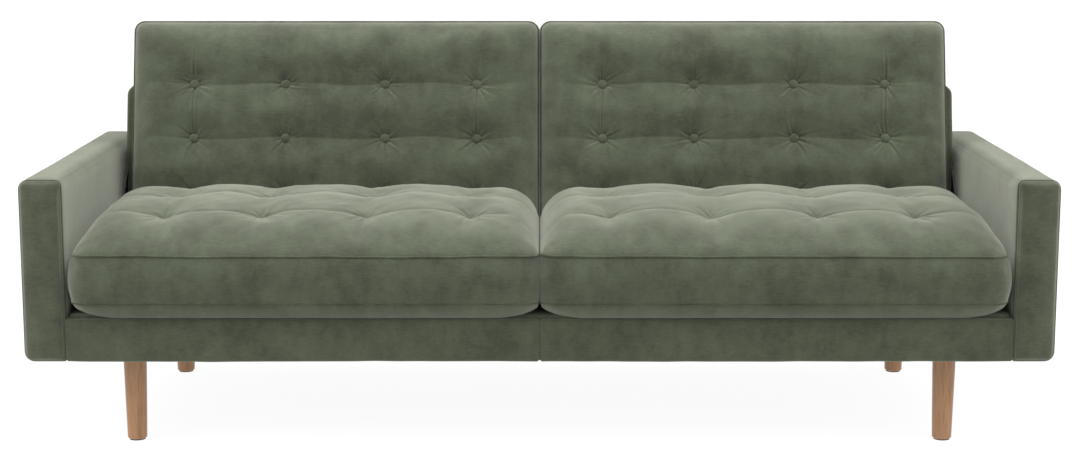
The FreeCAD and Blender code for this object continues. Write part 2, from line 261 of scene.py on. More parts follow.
def woodMaterial(name, light, dark, grainAxis, roughness, coat):
    # a figure drawn out along the grain, times fine pores
    grain = woodGrain
    material, nodes, links, shader = newMaterial(name)
    place = nodes.new("ShaderNodeTexCoord").outputs["Object"]
    squeeze = [1.0, 1.0, 1.0]
    squeeze[grainAxis] = grain["along"]
    figure = noiseAt(nodes, links, place, squeeze, *grain["figure"])
    pores = noiseAt(nodes, links, place, squeeze, *grain["pores"])
    shades = (dark, light, [c * grain["late"] for c in light])
    ramp = colourRamp(nodes, links, figure, list(zip(grain["stops"], shades)))
    dim = nodes.new("ShaderNodeMix")
    dim.data_type = "RGBA"
    dim.blend_type = "MULTIPLY"
    dim.inputs["Factor"].default_value = grain["poreShare"]
    links.new(ramp, dim.inputs["A"])
    poreStops = list(zip(grain["poreStops"], (grain["poreColour"], (1, 1, 1))))
    links.new(colourRamp(nodes, links, pores, poreStops), dim.inputs["B"])
    links.new(dim.outputs["Result"], shader.inputs["Base Color"])
    addBump(nodes, links, shader, pores, *grain["bump"])
    shader.inputs["Roughness"].default_value = roughness
    shader.inputs["Coat Weight"].default_value = coat
    shader.inputs["Coat Roughness"].default_value = grain["coatRoughness"]
    return material


plainGrain = dict(detail=3, roughness=0.6, dark=0.75, stops=(0.3, 0.7), bump=(0.0003, 0.3))


def plainMaterial(name, colour, roughness, metallic, grainScale):
    look = plainGrain
    material, nodes, links, shader = newMaterial(name)
    place = nodes.new("ShaderNodeTexCoord").outputs["Object"]
    grain = noiseAt(nodes, links, place, (1, 1, 1), grainScale, look["detail"], look["roughness"])
    shades = list(zip(look["stops"], ([c * look["dark"] for c in colour], colour)))
    links.new(colourRamp(nodes, links, grain, shades), shader.inputs["Base Color"])
    addBump(nodes, links, shader, grain, *look["bump"])
    shader.inputs["Roughness"].default_value = roughness
    shader.inputs["Metallic"].default_value = metallic
    return material


oak = woodMaterial("oiledOak", (0.37, 0.189, 0.083), (0.235, 0.108, 0.044), 2, 0.42, 0.15)
timberAcross = woodMaterial("pineAcross", (0.66, 0.50, 0.31), (0.50, 0.33, 0.17), 0, 0.7, 0.0)
timberAlong = woodMaterial("pineAlong", (0.66, 0.50, 0.31), (0.50, 0.33, 0.17), 1, 0.7, 0.0)
plywood = woodMaterial("birchPly", (0.70, 0.56, 0.38), (0.60, 0.45, 0.28), 0, 0.65, 0.0)
steel = plainMaterial("darkSteel", (0.035, 0.035, 0.037), 0.5, 0.6, 900)
blackCloth = plainMaterial("spunbond", (0.025, 0.025, 0.026), 0.9, 0.0, 1200)
felt = plainMaterial("pressedFelt", (0.10, 0.085, 0.075), 0.95, 0.0, 1500)

nodeLooks = {"leg_oak": oak, "timber": timberAcross, "plywood": plywood, "dark_steel": steel,
             "dust_cloth": blackCloth, "glide_felt": felt, "velvet": velvet}
for part in frame["record"]["subparts"]:
    node = frame["nodes"][part["node"]]
    look = nodeLooks[part["material_slot"]]
    if look is timberAcross and any(word in part["node"] for word in ("arm", "slat", "end", "centre")):
        look = timberAlong
    for place in range(max(1, len(node.material_slots))):
        if not node.material_slots:
            node.data.materials.append(look)
        node.material_slots[place].material = look
print("materials made")


def unevenStations(low, high, centres, near, fine, coarse):
    # places from low to high, fine apart within near of each centre and coarse apart elsewhere, blending between
    sample = np.linspace(low, high, 4000)
    away = np.min(np.abs(sample[:, None] - np.array(centres)[None]), axis=1)
    density = 1 / coarse + (1 / fine - 1 / coarse) * (1 - smoothStep(away, near * 0.8, near * 1.3))
    run = np.concatenate([[0], np.cumsum((density[1:] + density[:-1]) / 2 * np.diff(sample))])
    return np.interp(np.linspace(0, run[-1], int(round(run[-1])) + 1), run, sample)


def cushionForm(spec, stations):
    # a boxed cushion lying flat: top and bottom panels rise from their seams by a quarter ellipse along each
    # edge, with a power of their own at the front, the band between the seams bulges by half a sine wave, and
    # the plan corners are arcs
    counts = [len(places) - 1 for places in stations]
    lattice, faces = boxLattice(counts)
    low, high = np.array(spec["low"]), np.array(spec["high"])
    half = (high - low)[:2] / 2
    centre = (high + low)[:2] / 2
    flat = np.column_stack([stations[a][lattice[:, a]] - centre[a] for a in range(2)]) / half
    height = stations[2][lattice[:, 2]]
    ring = np.abs(flat).max(1)
    onRing = flat / np.maximum(ring, 1e-9)[:, None] * half
    core = np.clip(onRing, -(half - spec["corner"]), half - spec["corner"])
    out = onRing - core
    rounded = core + out / np.maximum(np.linalg.norm(out, axis=1), 1e-9)[:, None] * spec["corner"]
    plan = flat * half + (rounded - onRing) * (ring ** 6)[:, None]
    isTop = lattice[:, 2] == counts[2]
    isBottom = lattice[:, 2] == 0
    edge = np.maximum(half - np.abs(plan), 1e-6)
    planCore = np.clip(plan, -(half - spec["corner"]), half - spec["corner"])
    toOutline = spec["corner"] - np.linalg.norm(plan - planCore, axis=1)
    cornerShare = np.where(np.all(edge < spec["corner"], axis=1),
                           np.sqrt(np.clip(toOutline / edge.min(1), 0, 1)), 1.0)
    cornerShare *= ring < 1 - 1e-9
    level = spec["bottomSeam"] + (spec["topSeam"] - spec["bottomSeam"]) * height
    rises = []
    for reach, shoulder in ((spec["reach"], spec["shoulder"]), (spec["bottomReach"], spec["underShoulder"])):
        rises.append(quarterRise(edge[:, 0], reach[0]) * quarterRise(half[1] + plan[:, 1], reach[1], shoulder)
                     * quarterRise(half[1] - plan[:, 1], reach[2]) * cornerShare)
    level += np.where(isTop, (spec["topCrown"] + spec["slope"] * plan[:, 1] / half[1]) * rises[0], 0)
    level -= np.where(isBottom, spec["bottomCrown"] * rises[1], 0)
    if "rest" in spec:
        away = plan[:, 1] + centre[1]
        support = spec["lip"] + (spec["rest"] - spec["lip"]) * smoothStep(away, spec["lipEnd"], spec["restFrom"])
        level = np.where(isBottom & (away > spec["lipStart"]), np.maximum(level, support), level)
    bulge = spec["bulge"] * np.sin(math.pi * height) * np.where(isTop | isBottom, 0, 1)
    outward = out / np.maximum(np.linalg.norm(out, axis=1), 1e-9)[:, None]
    spread = spec["spread"] * (1 - height) * ring ** 6
    plan = plan + outward * (bulge + spread)[:, None]
    rim = (lattice[:, 0] % counts[0] == 0) | (lattice[:, 1] % counts[1] == 0)
    return np.column_stack([plan + centre, level]), faces, lattice, isTop, isBottom, rim


def nearestTuft(points, spec):
    # distance in plan to the nearest tuft
    distance = [np.hypot(points[:, 0] - x, points[:, 1] - y) for x in spec["columns"] for y in spec["rows"]]
    return np.min(distance, axis=0)


creases = dict(fade=0.05, start=0.015, ends=(0.01, 0.13), rowWander=0.003, columnWander=0.002, columnShare=0.8,
               dipWidth=0.05)


def tuftPull(points, spec):
    # how far the tufts pull the top in: a cusp at each tuft, creases along rows and columns that are shallower
    # midway between two tufts, and a wide dip behind each column towards the rear
    nearest = nearestTuft(points, spec)
    depth = spec["tuftDepth"] * np.exp(-nearest / spec["tuftReach"])
    along = spec["creaseMiddle"] + (1 - spec["creaseMiddle"]) * np.exp(-nearest / creases["fade"])
    between = smoothStep(points[:, 1], spec["rows"][0] - creases["start"], spec["rows"][0] + creases["start"])
    rearward = smoothStep(points[:, 1], spec["rows"][1], spec["rows"][2])
    fromEnd = np.minimum(points[:, 0] - spec["low"][0], spec["high"][0] - points[:, 0])
    ends = smoothStep(fromEnd, *creases["ends"])
    for y in spec["rows"]:
        away = np.abs(points[:, 1] - y - creases["rowWander"] * np.sin(points[:, 0] * 21 + y * 50))
        depth += spec["rowDepth"] * ends * along * np.exp(-away / spec["creaseWidth"])
    for x in spec["columns"]:
        away = np.abs(points[:, 0] - x - creases["columnWander"] * np.sin(points[:, 1] * 27 + x * 40))
        depth += spec["columnDepth"] * between * along \
            * np.exp(-away / (spec["creaseWidth"] * creases["columnShare"]))
        depth += spec["rearDip"] * rearward * np.exp(-(away / creases["dipWidth"]) ** 2)
    return depth


def inflate(piece, hold, settings):
    # cloth under pressure, held where hold is 1, stepped for some frames, no point moving further than the cap
    points = meshPoints(piece.data)
    group = piece.vertex_groups.new(name="hold")
    for level in np.unique(np.round(hold, 2)):
        if level > 0:
            group.add(np.nonzero(np.isclose(np.round(hold, 2), level))[0].tolist(), float(level), "REPLACE")
    cloth = piece.modifiers.new("Cloth", "CLOTH")
    cloth.settings.vertex_group_mass = "hold"
    cloth.settings.quality = settings["quality"]
    cloth.settings.mass = settings["mass"]
    cloth.settings.tension_stiffness = settings["tension"]
    cloth.settings.compression_stiffness = settings["compression"]
    cloth.settings.shear_stiffness = settings["shear"]
    cloth.settings.bending_stiffness = settings["bending"]
    cloth.settings.air_damping = settings["airDamping"]
    cloth.settings.use_pressure = True
    cloth.settings.uniform_pressure_force = settings["pressure"]
    cloth.settings.shrink_min = -settings["spare"]
    cloth.settings.effector_weights.gravity = 0
    cloth.point_cache.frame_start, cloth.point_cache.frame_end = 1, settings["frames"]
    for step in range(1, settings["frames"] + 1):
        scene.frame_set(step)
    moved = meshPoints(piece.evaluated_get(bpy.context.evaluated_depsgraph_get()).data) - points
    scene.frame_set(1)
    length = np.linalg.norm(moved, axis=1, keepdims=True)
    print(piece.name, "moved by at most", round(1000 * float(length.max()), 1), "mm")
    return moved * np.minimum(1, settings["cap"] / np.maximum(length, 1e-9))


def cubicWeights(fromPlaces, toPlaces):
    # Catmull-Rom weights that read values at the even fromPlaces off at toPlaces
    count = len(fromPlaces)
    spot = np.clip((toPlaces - fromPlaces[0]) / (fromPlaces[1] - fromPlaces[0]), 0, count - 1)
    cell = np.minimum(spot.astype(int), count - 2)
    t = spot - cell
    weights = np.zeros((len(toPlaces), count))
    rows = np.arange(len(toPlaces))
    for step, share in ((-1, ((-t + 2) * t - 1) * t / 2), (0, ((3 * t - 5) * t) * t / 2 + 1),
                        (1, ((-3 * t + 4) * t + 1) * t / 2), (2, ((t - 1) * t * t) / 2)):
        np.add.at(weights, (rows, np.clip(cell + step, 0, count - 1)), share)
    return weights


def evened(sheet):
    # each value averaged with its neighbours along both axes, each edge only along itself
    sheet = sheet.copy()
    sheet[1:-1] = (sheet[:-2] + 2 * sheet[1:-1] + sheet[2:]) / 4
    sheet[:, 1:-1] = (sheet[:, :-2] + 2 * sheet[:, 1:-1] + sheet[:, 2:]) / 4
    return sheet


def carryOver(moved, coarse, coarseLattice, fine, fineLattice):
    # the cloth's movement on each face of its even lattice, smoothed twice and read off at the finer one's points
    counts = [len(places) - 1 for places in coarse]
    block = np.zeros([count + 1 for count in counts] + [3])
    block[tuple(coarseLattice.T)] = moved
    weights = [cubicWeights(coarse[a], fine[a]) for a in range(3)]
    result = np.zeros((len(fineLattice), 3))
    for axis in range(3):
        u, v = [a for a in range(3) if a != axis]
        for end, last in ((0, 0), (counts[axis], len(fine[axis]) - 1)):
            side = evened(evened(np.take(block, end, axis)))
            sheet = np.einsum("ai,bj,ijk->abk", weights[u], weights[v], side)
            on = fineLattice[:, axis] == last
            result[on] = sheet[fineLattice[on, u], fineLattice[on, v]]
    return result


def starPleats(points, spec, seed):
    # radial pleats at each tuft: a narrow valley with a narrow ridge beside it, at seeded angles, fading outwards
    rng = np.random.default_rng(seed)
    lift = np.zeros(len(points))
    for tuftX in spec["columns"]:
        for tuftY in spec["rows"]:
            near = np.nonzero(np.hypot(points[:, 0] - tuftX, points[:, 1] - tuftY) < 0.11)[0]
            dx, dy = points[near, 0] - tuftX, points[near, 1] - tuftY
            turn = rng.uniform(0, 6.28)
            for k in range(spec["pleats"]):
                angle = turn + 2 * math.pi * (k + rng.uniform(-0.36, 0.36)) / spec["pleats"]
                length = rng.uniform(0.4, 1.0) * spec["pleatReach"] * (1 - 0.25 * math.sin(angle))
                depth = rng.uniform(0.4, 1.0) * spec["pleatDepth"]
                along = dx * math.cos(angle) + dy * math.sin(angle)
                across = -dx * math.sin(angle) + dy * math.cos(angle) + along ** 2 * rng.uniform(-2.5, 2.5)
                width = spec["pleatWidth"] * (0.7 + 9 * np.clip(along, 0, 1))
                fade = np.exp(-(np.clip(along, 0, 1) / length) ** 1.5) * smoothStep(along, 0.003, 0.014)
                lift[near] += depth * fade * (0.7 * np.exp(-((across - 1.9 * width) / width) ** 2)
                                              - np.exp(-(across / width) ** 2))
    return lift


def tuckPleats(points, spec, seed):
    # upright tucks through the tufts: a pair of narrow ridges with a valley between, fading at both ends
    rng = np.random.default_rng(seed)
    lift = np.zeros(len(points))
    for column, low, high, depth in spec["tucks"]:
        wander = 0.0025 * np.sin(points[:, 1] * rng.uniform(20, 35) + rng.uniform(0, 6))
        across = points[:, 0] - spec["columns"][column] - wander
        fade = smoothStep(points[:, 1], low, low + 0.02) * (1 - smoothStep(points[:, 1], high - 0.05, high))
        width = spec["tuckWidth"]
        lift += depth * fade * (np.exp(-((np.abs(across) - 1.4 * width) / width) ** 2)
                                - 0.6 * np.exp(-(across / width) ** 2))
    return lift


def seamPath(points, lattice, counts, level):
    # the seam's points in order round the cushion, from the lattice's rim at that level
    rim = np.nonzero((lattice[:, 2] == level)
                     & ((lattice[:, 0] % counts[0] == 0) | (lattice[:, 1] % counts[1] == 0)))[0]
    side = lattice[rim, :2] / np.array(counts[:2]) - 0.5
    return points[rim[np.argsort(np.arctan2(side[:, 1], side[:, 0]))]]


longestWave = dict(seam=0.35, top=0.22, band=0.13)


def makeCushion(spec, place, names, seeds):
    # one half is relaxed as cloth on an even lattice, then both halves get a finer skin and pleats of their own
    coarse = [np.linspace(spec["low"][a], spec["high"][a], spec["cells"][a] + 1) for a in range(2)]
    coarse.append(np.linspace(0, 1, spec["cells"][2] + 1))
    fine = [unevenStations(spec["low"][a], spec["high"][a], spec[centres], *spec["mesh"])
            for a, centres in enumerate(("columns", "rows"))] + [np.linspace(0, 1, spec["bandCells"] + 1)]
    skins = []
    for stations in (coarse, fine):
        points, faces, lattice, isTop, isBottom, rim = cushionForm(spec, stations)
        crownShare = smoothStep(points[:, 2], spec["topSeam"], spec["topSeam"] + 0.6 * spec["topCrown"])
        points[:, 2] -= np.where(isTop, tuftPull(points, spec) * crownShare, 0)
        skins.append((points, faces, lattice, isTop, isBottom, rim, crownShare))
    points, faces, lattice, isTop, isBottom, rim, crownShare = skins[0]
    hold = np.where(rim & (isTop | isBottom), spec["seamHold"], 0.0)
    hold = np.where(isTop & (nearestTuft(points, spec) < spec["tuftHeld"]), 1.0, hold)
    hold = np.where(isBottom, 1.0, hold)
    rough = newPiece(names[0][1] + "_cloth", points, faces)
    moved = inflate(rough, hold, spec["cloth"])
    bpy.data.objects.remove(rough)
    points, faces, lattice, isTop, isBottom, rim, crownShare = skins[1]
    counts = [len(places) - 1 for places in fine]
    relaxed = points + carryOver(moved, coarse, skins[0][2], fine, lattice)
    seats = []
    for side, (body, padName, weltName, replaced) in enumerate(names):
        flip = np.array([1 if side == 0 else -1, 1, 1])
        skin = relaxed.copy()
        skin[:, 2] += waves(skin, seeds[side], longestWave["seam"]) * spec["seamWander"] \
            * np.where(rim & isTop, 1, 0)
        skin[:, 2] += waves(skin, seeds[side] + 7, longestWave["top"]) * spec["unevenness"] \
            * np.where(isTop, crownShare, 0)
        onBand = np.where(isTop | isBottom, 0, np.sin(math.pi * stationShare(lattice, counts)))
        skin[:, 1] += waves(skin * np.array([1, 1, 0.4]), seeds[side] + 3, longestWave["band"]) \
            * spec["bandWander"] * onBand
        skin[:, 0] = np.maximum(skin[:, 0], spec["middleGap"])      # pressed flat against the other half
        skin[:, 1] = np.minimum(skin[:, 1], spec["rearStop"])       # and clear of the back's frame
        pleats = starPleats(skin, spec, seeds[side] + 11) + tuckPleats(skin, spec, seeds[side] + 5)
        skin[:, 2] += np.where(isTop, pleats * crownShare, 0)
        pad = newPiece(padName, place(skin * flip), faces[:, ::flip[0]], velvet)
        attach(pad, body)
        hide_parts(replaced)
        up = place(np.array([[0, 0, 1.0]])) - place(np.zeros((1, 3)))
        for label, level in (("top", counts[2]), ("bottom", 0)):
            seam = seamPath(skin, lattice, counts, level)
            seam = evenly(seam, spec["weltStep"])
            away = (seam - seam.mean(0)) * np.array([1, 1, 0])
            seam = seam + away / np.linalg.norm(away, axis=1, keepdims=True) * spec["weltOut"]
            radius = spec["weltRadius"] * (1 if label == "top" else spec["underWelt"])
            seam[:, 0] = np.maximum(seam[:, 0], spec["middleGap"] + radius)
            # the seam's cord takes the darker low-sheen velvet, painted shade for the groove beside it
            cord = tube(weltName + "_" + label, place(seam * flip)[::flip[0]], radius, up[0], shadedWeltVelvet)
            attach(cord, body)
        sunk = [[x, y, skin[isTop & (np.hypot(skin[:, 0] - x, skin[:, 1] - y) < spec["tuftSpot"]), 2].mean()]
                for x in spec["columns"] for y in spec["rows"]]
        seats.append(np.array(sunk))
    return seats


def stationShare(lattice, counts):
    # height in the band, 0 at its bottom and 1 at its top
    return lattice[:, 2] / counts[2]


def evenly(outline, step):
    # a closed outline's points, spaced evenly
    closed = np.vstack([outline, outline[:1]])
    run = np.concatenate([[0], np.cumsum(np.linalg.norm(np.diff(closed, axis=0), axis=1))])
    places = np.linspace(0, run[-1], int(run[-1] / step), endpoint=False)
    return np.column_stack([np.interp(places, run, closed[:, k]) for k in range(outline.shape[1])])


seatLow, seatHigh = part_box("right_seat_cushion")
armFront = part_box("right_arm_front_panel")[1].y
seat = dict(
    cells=(124, 68, 12), bandCells=18, mesh=(0.030, 0.0017, 0.007),
    low=(seatLow.x - 0.001, seatLow.y + 0.002, 0), high=(seatHigh.x, seatHigh.y, 0),
    bottomSeam=seatLow.z + 0.0277, topSeam=seatLow.z + 0.1266, topCrown=0.081, bottomCrown=0.0387, slope=0.004,
    reach=(0.105, 0.165, 0.11), bottomReach=(0.115, 0.033, 0.06), shoulder=1.5, underShoulder=1.3,
    corner=0.036, bulge=0.007, spread=0.004,
    rest=seatLow.z, lip=seatLow.z - 0.0072, lipStart=armFront - 0.003, lipEnd=armFront + 0.02,
    restFrom=armFront + 0.034,
    columns=(0.147, 0.363, 0.586, 0.792), rows=(armFront + 0.100, armFront + 0.287, armFront + 0.446),
    tuftDepth=0.0105, tuftReach=0.028, rowDepth=0.0056, columnDepth=0.0, rearDip=0.0075, creaseWidth=0.011,
    creaseMiddle=0.62,
    pleats=9, pleatReach=0.048, pleatDepth=0.0022, pleatWidth=0.0044, tucks=(), tuckWidth=0.003, seamHold=0.9,
    seamWander=0.0018, unevenness=0.0016, bandWander=0.0024, weltOut=-0.0004, weltRadius=0.0026, underWelt=0.65,
    weltStep=0.006, tuftHeld=0.008, tuftSpot=0.010, middleGap=0.00006, rearStop=0.0885, fill=0.75,
    cloth=dict(quality=6, tension=12, compression=5, shear=4, bending=0.25, pressure=3.0, spare=0.015,
               mass=0.3, airDamping=3, frames=16, cap=0.022))

hinge = next(joint for joint in frame["joints"] if joint["child"] == "right_back")
lean = math.radians(90 - hinge["range_deg"][1])     # the back lies flat at the joint's limit
pivot = np.array(hinge["pos_m"])


def leaning(points):
    # from a back lying flat about its hinge axis (x, up the back, out of its face) to the sofa position
    x, up, out = points.T
    return np.column_stack([x, pivot[1] + up * math.sin(lean) - out * math.cos(lean),
                            pivot[2] + up * math.cos(lean) + out * math.sin(lean)])


backFace, backThickness = 0.078, 0.105
back = dict(
    cells=(122, 68, 12), bandCells=14, mesh=(0.030, 0.0016, 0.007),
    low=(0.0035, -0.091, 0), high=(0.946, 0.441, 0),
    bottomSeam=backFace - backThickness + 0.004, topSeam=backFace - 0.026, topCrown=0.034, bottomCrown=0.003,
    slope=0.0, reach=(0.055, 0.075, 0.050), bottomReach=(0.03, 0.03, 0.03), shoulder=2.0, underShoulder=2.0,
    corner=0.022, bulge=0.006, spread=0.0,
    columns=(0.146, 0.359, 0.590, 0.802), rows=(0.036, 0.163, 0.290),
    tuftDepth=0.0130, tuftReach=0.025, rowDepth=0.0072, columnDepth=0.0010, rearDip=0.0, creaseWidth=0.018,
    creaseMiddle=0.40,
    pleats=12, pleatReach=0.042, pleatDepth=0.0030, pleatWidth=0.0028,
    tucks=((0, 0.295, 0.365, 0.0024), (1, 0.295, 0.375, 0.0016), (2, 0.295, 0.36, 0.0014),
           (3, 0.295, 0.385, 0.0024), (0, 0.165, 0.31, 0.0022), (3, 0.165, 0.33, 0.0024),
           (2, 0.170, 0.23, 0.0010), (1, 0.045, 0.13, 0.0010)),
    tuckWidth=0.0030, seamHold=0.9,
    seamWander=0.0010, unevenness=0.0012, bandWander=0.0010, weltOut=0.0, weltRadius=0.0024, underWelt=1.0,
    weltStep=0.006, tuftHeld=0.008, tuftSpot=0.010, middleGap=0.00006, rearStop=1.0, fill=0.8,
    cloth=dict(quality=6, tension=12, compression=5, shear=4, bending=0.25, pressure=2.6, spare=0.010,
               mass=0.3, airDamping=3, frames=14, cap=0.016))

makeCushion(seat, lambda points: points,
            (("root", "right_seat_pad", "right_seat_welt", "right_seat_cushion"),
             ("root", "left_seat_pad", "left_seat_welt", "left_seat_cushion")), (21, 58))
print("seat cushions made")
buttonSeats = makeCushion(back, leaning,
                          (("right_back", "right_back_pad", "right_back_welt", "right_back_cushion"),
                           ("left_back", "left_back_pad", "left_back_welt", "left_back_cushion")), (34, 77))
print("back cushions made")


buttonLook = dict(radius=0.0102, dome=0.0050, flatness=0.92, skirt=0.007, rings=9, sides=28, gathers=0.03,
                  proud=0.0014)


def makeButtons():
    # each button is a dome: height falls from the middle as a circle's arc, then a rounded skirt turns under
    look = buttonLook
    share = np.linspace(0, 1, look["rings"])
    radius = np.concatenate([share, [1.04, 1.02, 0.9]]) * look["radius"]
    height = np.concatenate([look["dome"] * np.sqrt(1 - (look["flatness"] * share) ** 2),
                             [0.0004, -0.0012, -look["skirt"]]])
    turn = np.linspace(0, 2 * math.pi, look["sides"], endpoint=False)
    gathers = 1 + look["gathers"] * np.sin(5 * turn)
    for side, body, seats in ((1, "right_back", buttonSeats[0]), (-1, "left_back", buttonSeats[1])):
        points, faces = [], []
        for x, up, out in seats:
            ring = np.stack([x + radius[:, None] * np.cos(turn) * gathers,
                             up + radius[:, None] * np.sin(turn) * gathers,
                             np.repeat(out + look["proud"] + height[:, None], len(turn), 1)], -1)
            faces.append(gridFaces(len(radius), len(turn), False, True) + len(points) * ring[..., 0].size)
            points.append(ring.reshape(-1, 3))
        points, faces = np.concatenate(points), np.concatenate(faces)
        points = leaning(points * np.array([side, 1, 1]))
        piece = newPiece(body + "_button_covers", points, faces[:, ::side], velvet)
        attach(piece, body)
        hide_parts(body + "_buttons")


makeButtons()


def edgedStations(low, high, radius, cells, edgeCells=5):
    # places along one axis, closer together where the edge turns
    turn = radius * (1 - np.cos(np.linspace(0, math.pi / 2, edgeCells + 1)))
    middle = np.linspace(low + radius, high - radius, cells + 1)[1:-1]
    return np.concatenate([low + turn, middle, (high - turn)[::-1]])


boxEdge = dict(rise=0.06, flat=0.6)


def softBox(low, high, radius, cells, puff, seed, ripple):
    # a padded box: edges are arcs of one radius, faces swell by a quarter ellipse from their edges, and the
    # cloth has a slight seeded unevenness
    low, high = np.array(low), np.array(high)
    places = [edgedStations(low[a], high[a], radius, cells[a]) for a in range(3)]
    lattice, faces = boxLattice([len(p) - 1 for p in places])
    points = np.column_stack([places[a][lattice[:, a]] for a in range(3)])
    core = np.clip(points, low + radius, high - radius)
    out = points - core
    length = np.maximum(np.linalg.norm(out, axis=1, keepdims=True), 1e-9)
    points = core + out / length * radius
    edge = np.minimum(points - low, high - points)
    for axis in range(3):
        others = [a for a in range(3) if a != axis]
        swell = np.prod([quarterRise(edge[:, a], min(boxEdge["rise"], (high - low)[a] / 4)) for a in others],
                        axis=0)
        sign = np.sign(points[:, axis] - (low + high)[axis] / 2)
        points[:, axis] += puff[axis] * swell * sign * (edge[:, axis] < radius * boxEdge["flat"])
    return points + ripple * np.column_stack([waves(points, seed + a, 0.4) for a in range(3)]), faces


def cornerRadius(flat, radii):
    # the radius of the corner a point belongs to; radii run low-low, high-low, low-high, high-high
    return np.choose((flat[:, 0] > 0) + 2 * (flat[:, 1] > 0), radii)


barEdge = dict(near=0.03, fine=0.002)


def softBar(low, high, radii, endRadius, cells, puff, seed, ripple=0.0006, reach=0.03, softer=None):
    # a padded bar along its third axis: its section is a rectangle with an arc of its own radius at each corner,
    # the ends turn in by an arc, and sides and ends swell by a quarter ellipse from their edges
    low, high = np.array(low), np.array(high)
    half, centre = (high - low) / 2, (high + low) / 2
    places = [unevenStations(low[a], high[a], (low[a], high[a]), barEdge["near"], barEdge["fine"], cells[a])
              for a in range(3)]
    lattice, faces = boxLattice([len(p) - 1 for p in places])
    points = np.column_stack([places[a][lattice[:, a]] for a in range(3)])
    flat = (points[:, :2] - centre[:2]) / half[:2]
    ring = np.abs(flat).max(1)
    onRing = flat / np.maximum(ring, 1e-9)[:, None] * half[:2]
    radius = cornerRadius(flat, radii)[:, None]
    if softer:
        corner, extra, distance = softer      # one corner's radius grows from the low end
        here = (flat[:, 0] > 0) + 2 * (flat[:, 1] > 0) == corner
        radius = radius + (extra * here * smoothStep(points[:, 2], low[2], low[2] + distance))[:, None]
    core = np.clip(onRing, radius - half[:2], half[:2] - radius)
    out = onRing - core
    outward = out / np.maximum(np.linalg.norm(out, axis=1), 1e-9)[:, None]
    plan = flat * half[:2] + (core + outward * radius - onRing) * (ring ** 8)[:, None]
    fromEnd = np.minimum(points[:, 2] - low[2], high[2] - points[:, 2])
    endArc = np.where(points[:, 2] < centre[2], *endRadius)
    inset = endArc - np.sqrt(np.clip(endArc ** 2 - np.clip(endArc - fromEnd, 0, None) ** 2, 0, None))
    isEnd = (lattice[:, 2] == 0) | (lattice[:, 2] == len(places[2]) - 1)
    toEdge = half[:2] - np.abs(plan)
    sideRise = quarterRise(fromEnd, reach) * quarterRise(np.max(toEdge, axis=1) - radius[:, 0] * 0.3, reach)
    across = np.where(np.abs(flat[:, 0]) > np.abs(flat[:, 1]), puff[0], puff[1])
    plan += outward * ((ring ** 8) * (across * sideRise * ~isEnd - inset))[:, None]
    depth = points[:, 2] + np.sign(points[:, 2] - centre[2]) * isEnd * puff[2] * \
        quarterRise(toEdge[:, 0], reach) * quarterRise(toEdge[:, 1], reach)
    points = np.column_stack([plan + centre[:2], depth])
    return points + ripple * np.column_stack([waves(points, seed + a, 0.4) for a in range(3)]), faces


def barOutline(low, high, radii, step=0.006):
    # the section's outline, an arc at each corner, spaced evenly
    turn = np.linspace(0, math.pi / 2, 9)
    arcs = []
    for quarter, (sideX, sideY, radius) in enumerate(((1, 1, radii[3]), (0, 1, radii[2]),
                                                      (0, 0, radii[0]), (1, 0, radii[1]))):
        x = (low[0] + radius, high[0] - radius)[sideX]
        y = (low[1] + radius, high[1] - radius)[sideY]
        angle = turn + quarter * math.pi / 2
        arcs.append(np.column_stack([x + radius * np.cos(angle), y + radius * np.sin(angle)]))
    return evenly(np.concatenate(arcs), step)


armLook = dict(radii=(0.003, 0.018, 0.011, 0.018), endRadius=(0.005, 0.012), puff=(0.003, 0.003, 0.003),
               softer=(2, 0.017, 0.10), panelPuff=0.0125, panelReach=0.045, panelEnds=(0.0035, 0.0035),
               panelTuck=0.003, weltRadius=0.0022, weltBack=0.0015)


def makeArms():
    # a padded bar along y, a fuller bar for its front panel and a welt round the panel's outline
    look = armLook
    swap = [0, 2, 1]      # a bar is drawn along its third axis, an arm runs along y
    for sign, side in ((1, "right"), (-1, "left")):
        flip = np.array([sign, 1, 1])
        low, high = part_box("right_arm_cover")
        points, faces = softBar(np.array(low)[swap], np.array(high)[swap], look["radii"], look["endRadius"],
                                (0.008, 0.012, 0.014), look["puff"], 5 + sign, softer=look["softer"])
        cover = newPiece(side + "_arm_pad", points[:, swap] * flip, faces[:, ::-sign], velvet)
        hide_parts(side + "_arm_cover")
        panelLow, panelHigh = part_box("right_arm_front_panel")
        panelEnd = np.array(panelHigh)[swap] + (0, 0, look["panelTuck"])
        points, faces = softBar(np.array(panelLow)[swap], panelEnd, look["radii"], look["panelEnds"],
                                (0.005, 0.008, 0.004), (0, 0, look["panelPuff"]), 15 + sign, 0.0004,
                                look["panelReach"])
        panel = newPiece(side + "_arm_face", points[:, swap] * flip, faces[:, ::-sign], velvet)
        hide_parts(side + "_arm_front_panel")
        outline = barOutline((panelLow.x, panelLow.z), (panelHigh.x, panelHigh.z), look["radii"])
        behind = np.full(len(outline), panelHigh.y - look["weltBack"])
        path = np.column_stack([outline[:, 0], behind, outline[:, 1]]) * flip
        # the panel's cord takes the darker low-sheen velvet, painted shade for the groove beside it
        cord = tube(side + "_arm_welt", path[::-sign], look["weltRadius"], np.array([0, 1.0, 0]), shadedWeltVelvet)
        for piece in (cover, panel, cord):
            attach(piece, "root")


makeArms()


deckCloth = dict(thickness=0.001, turn=0.003, lengthPlaces=40, widthPlaces=160, sag=0.0002)


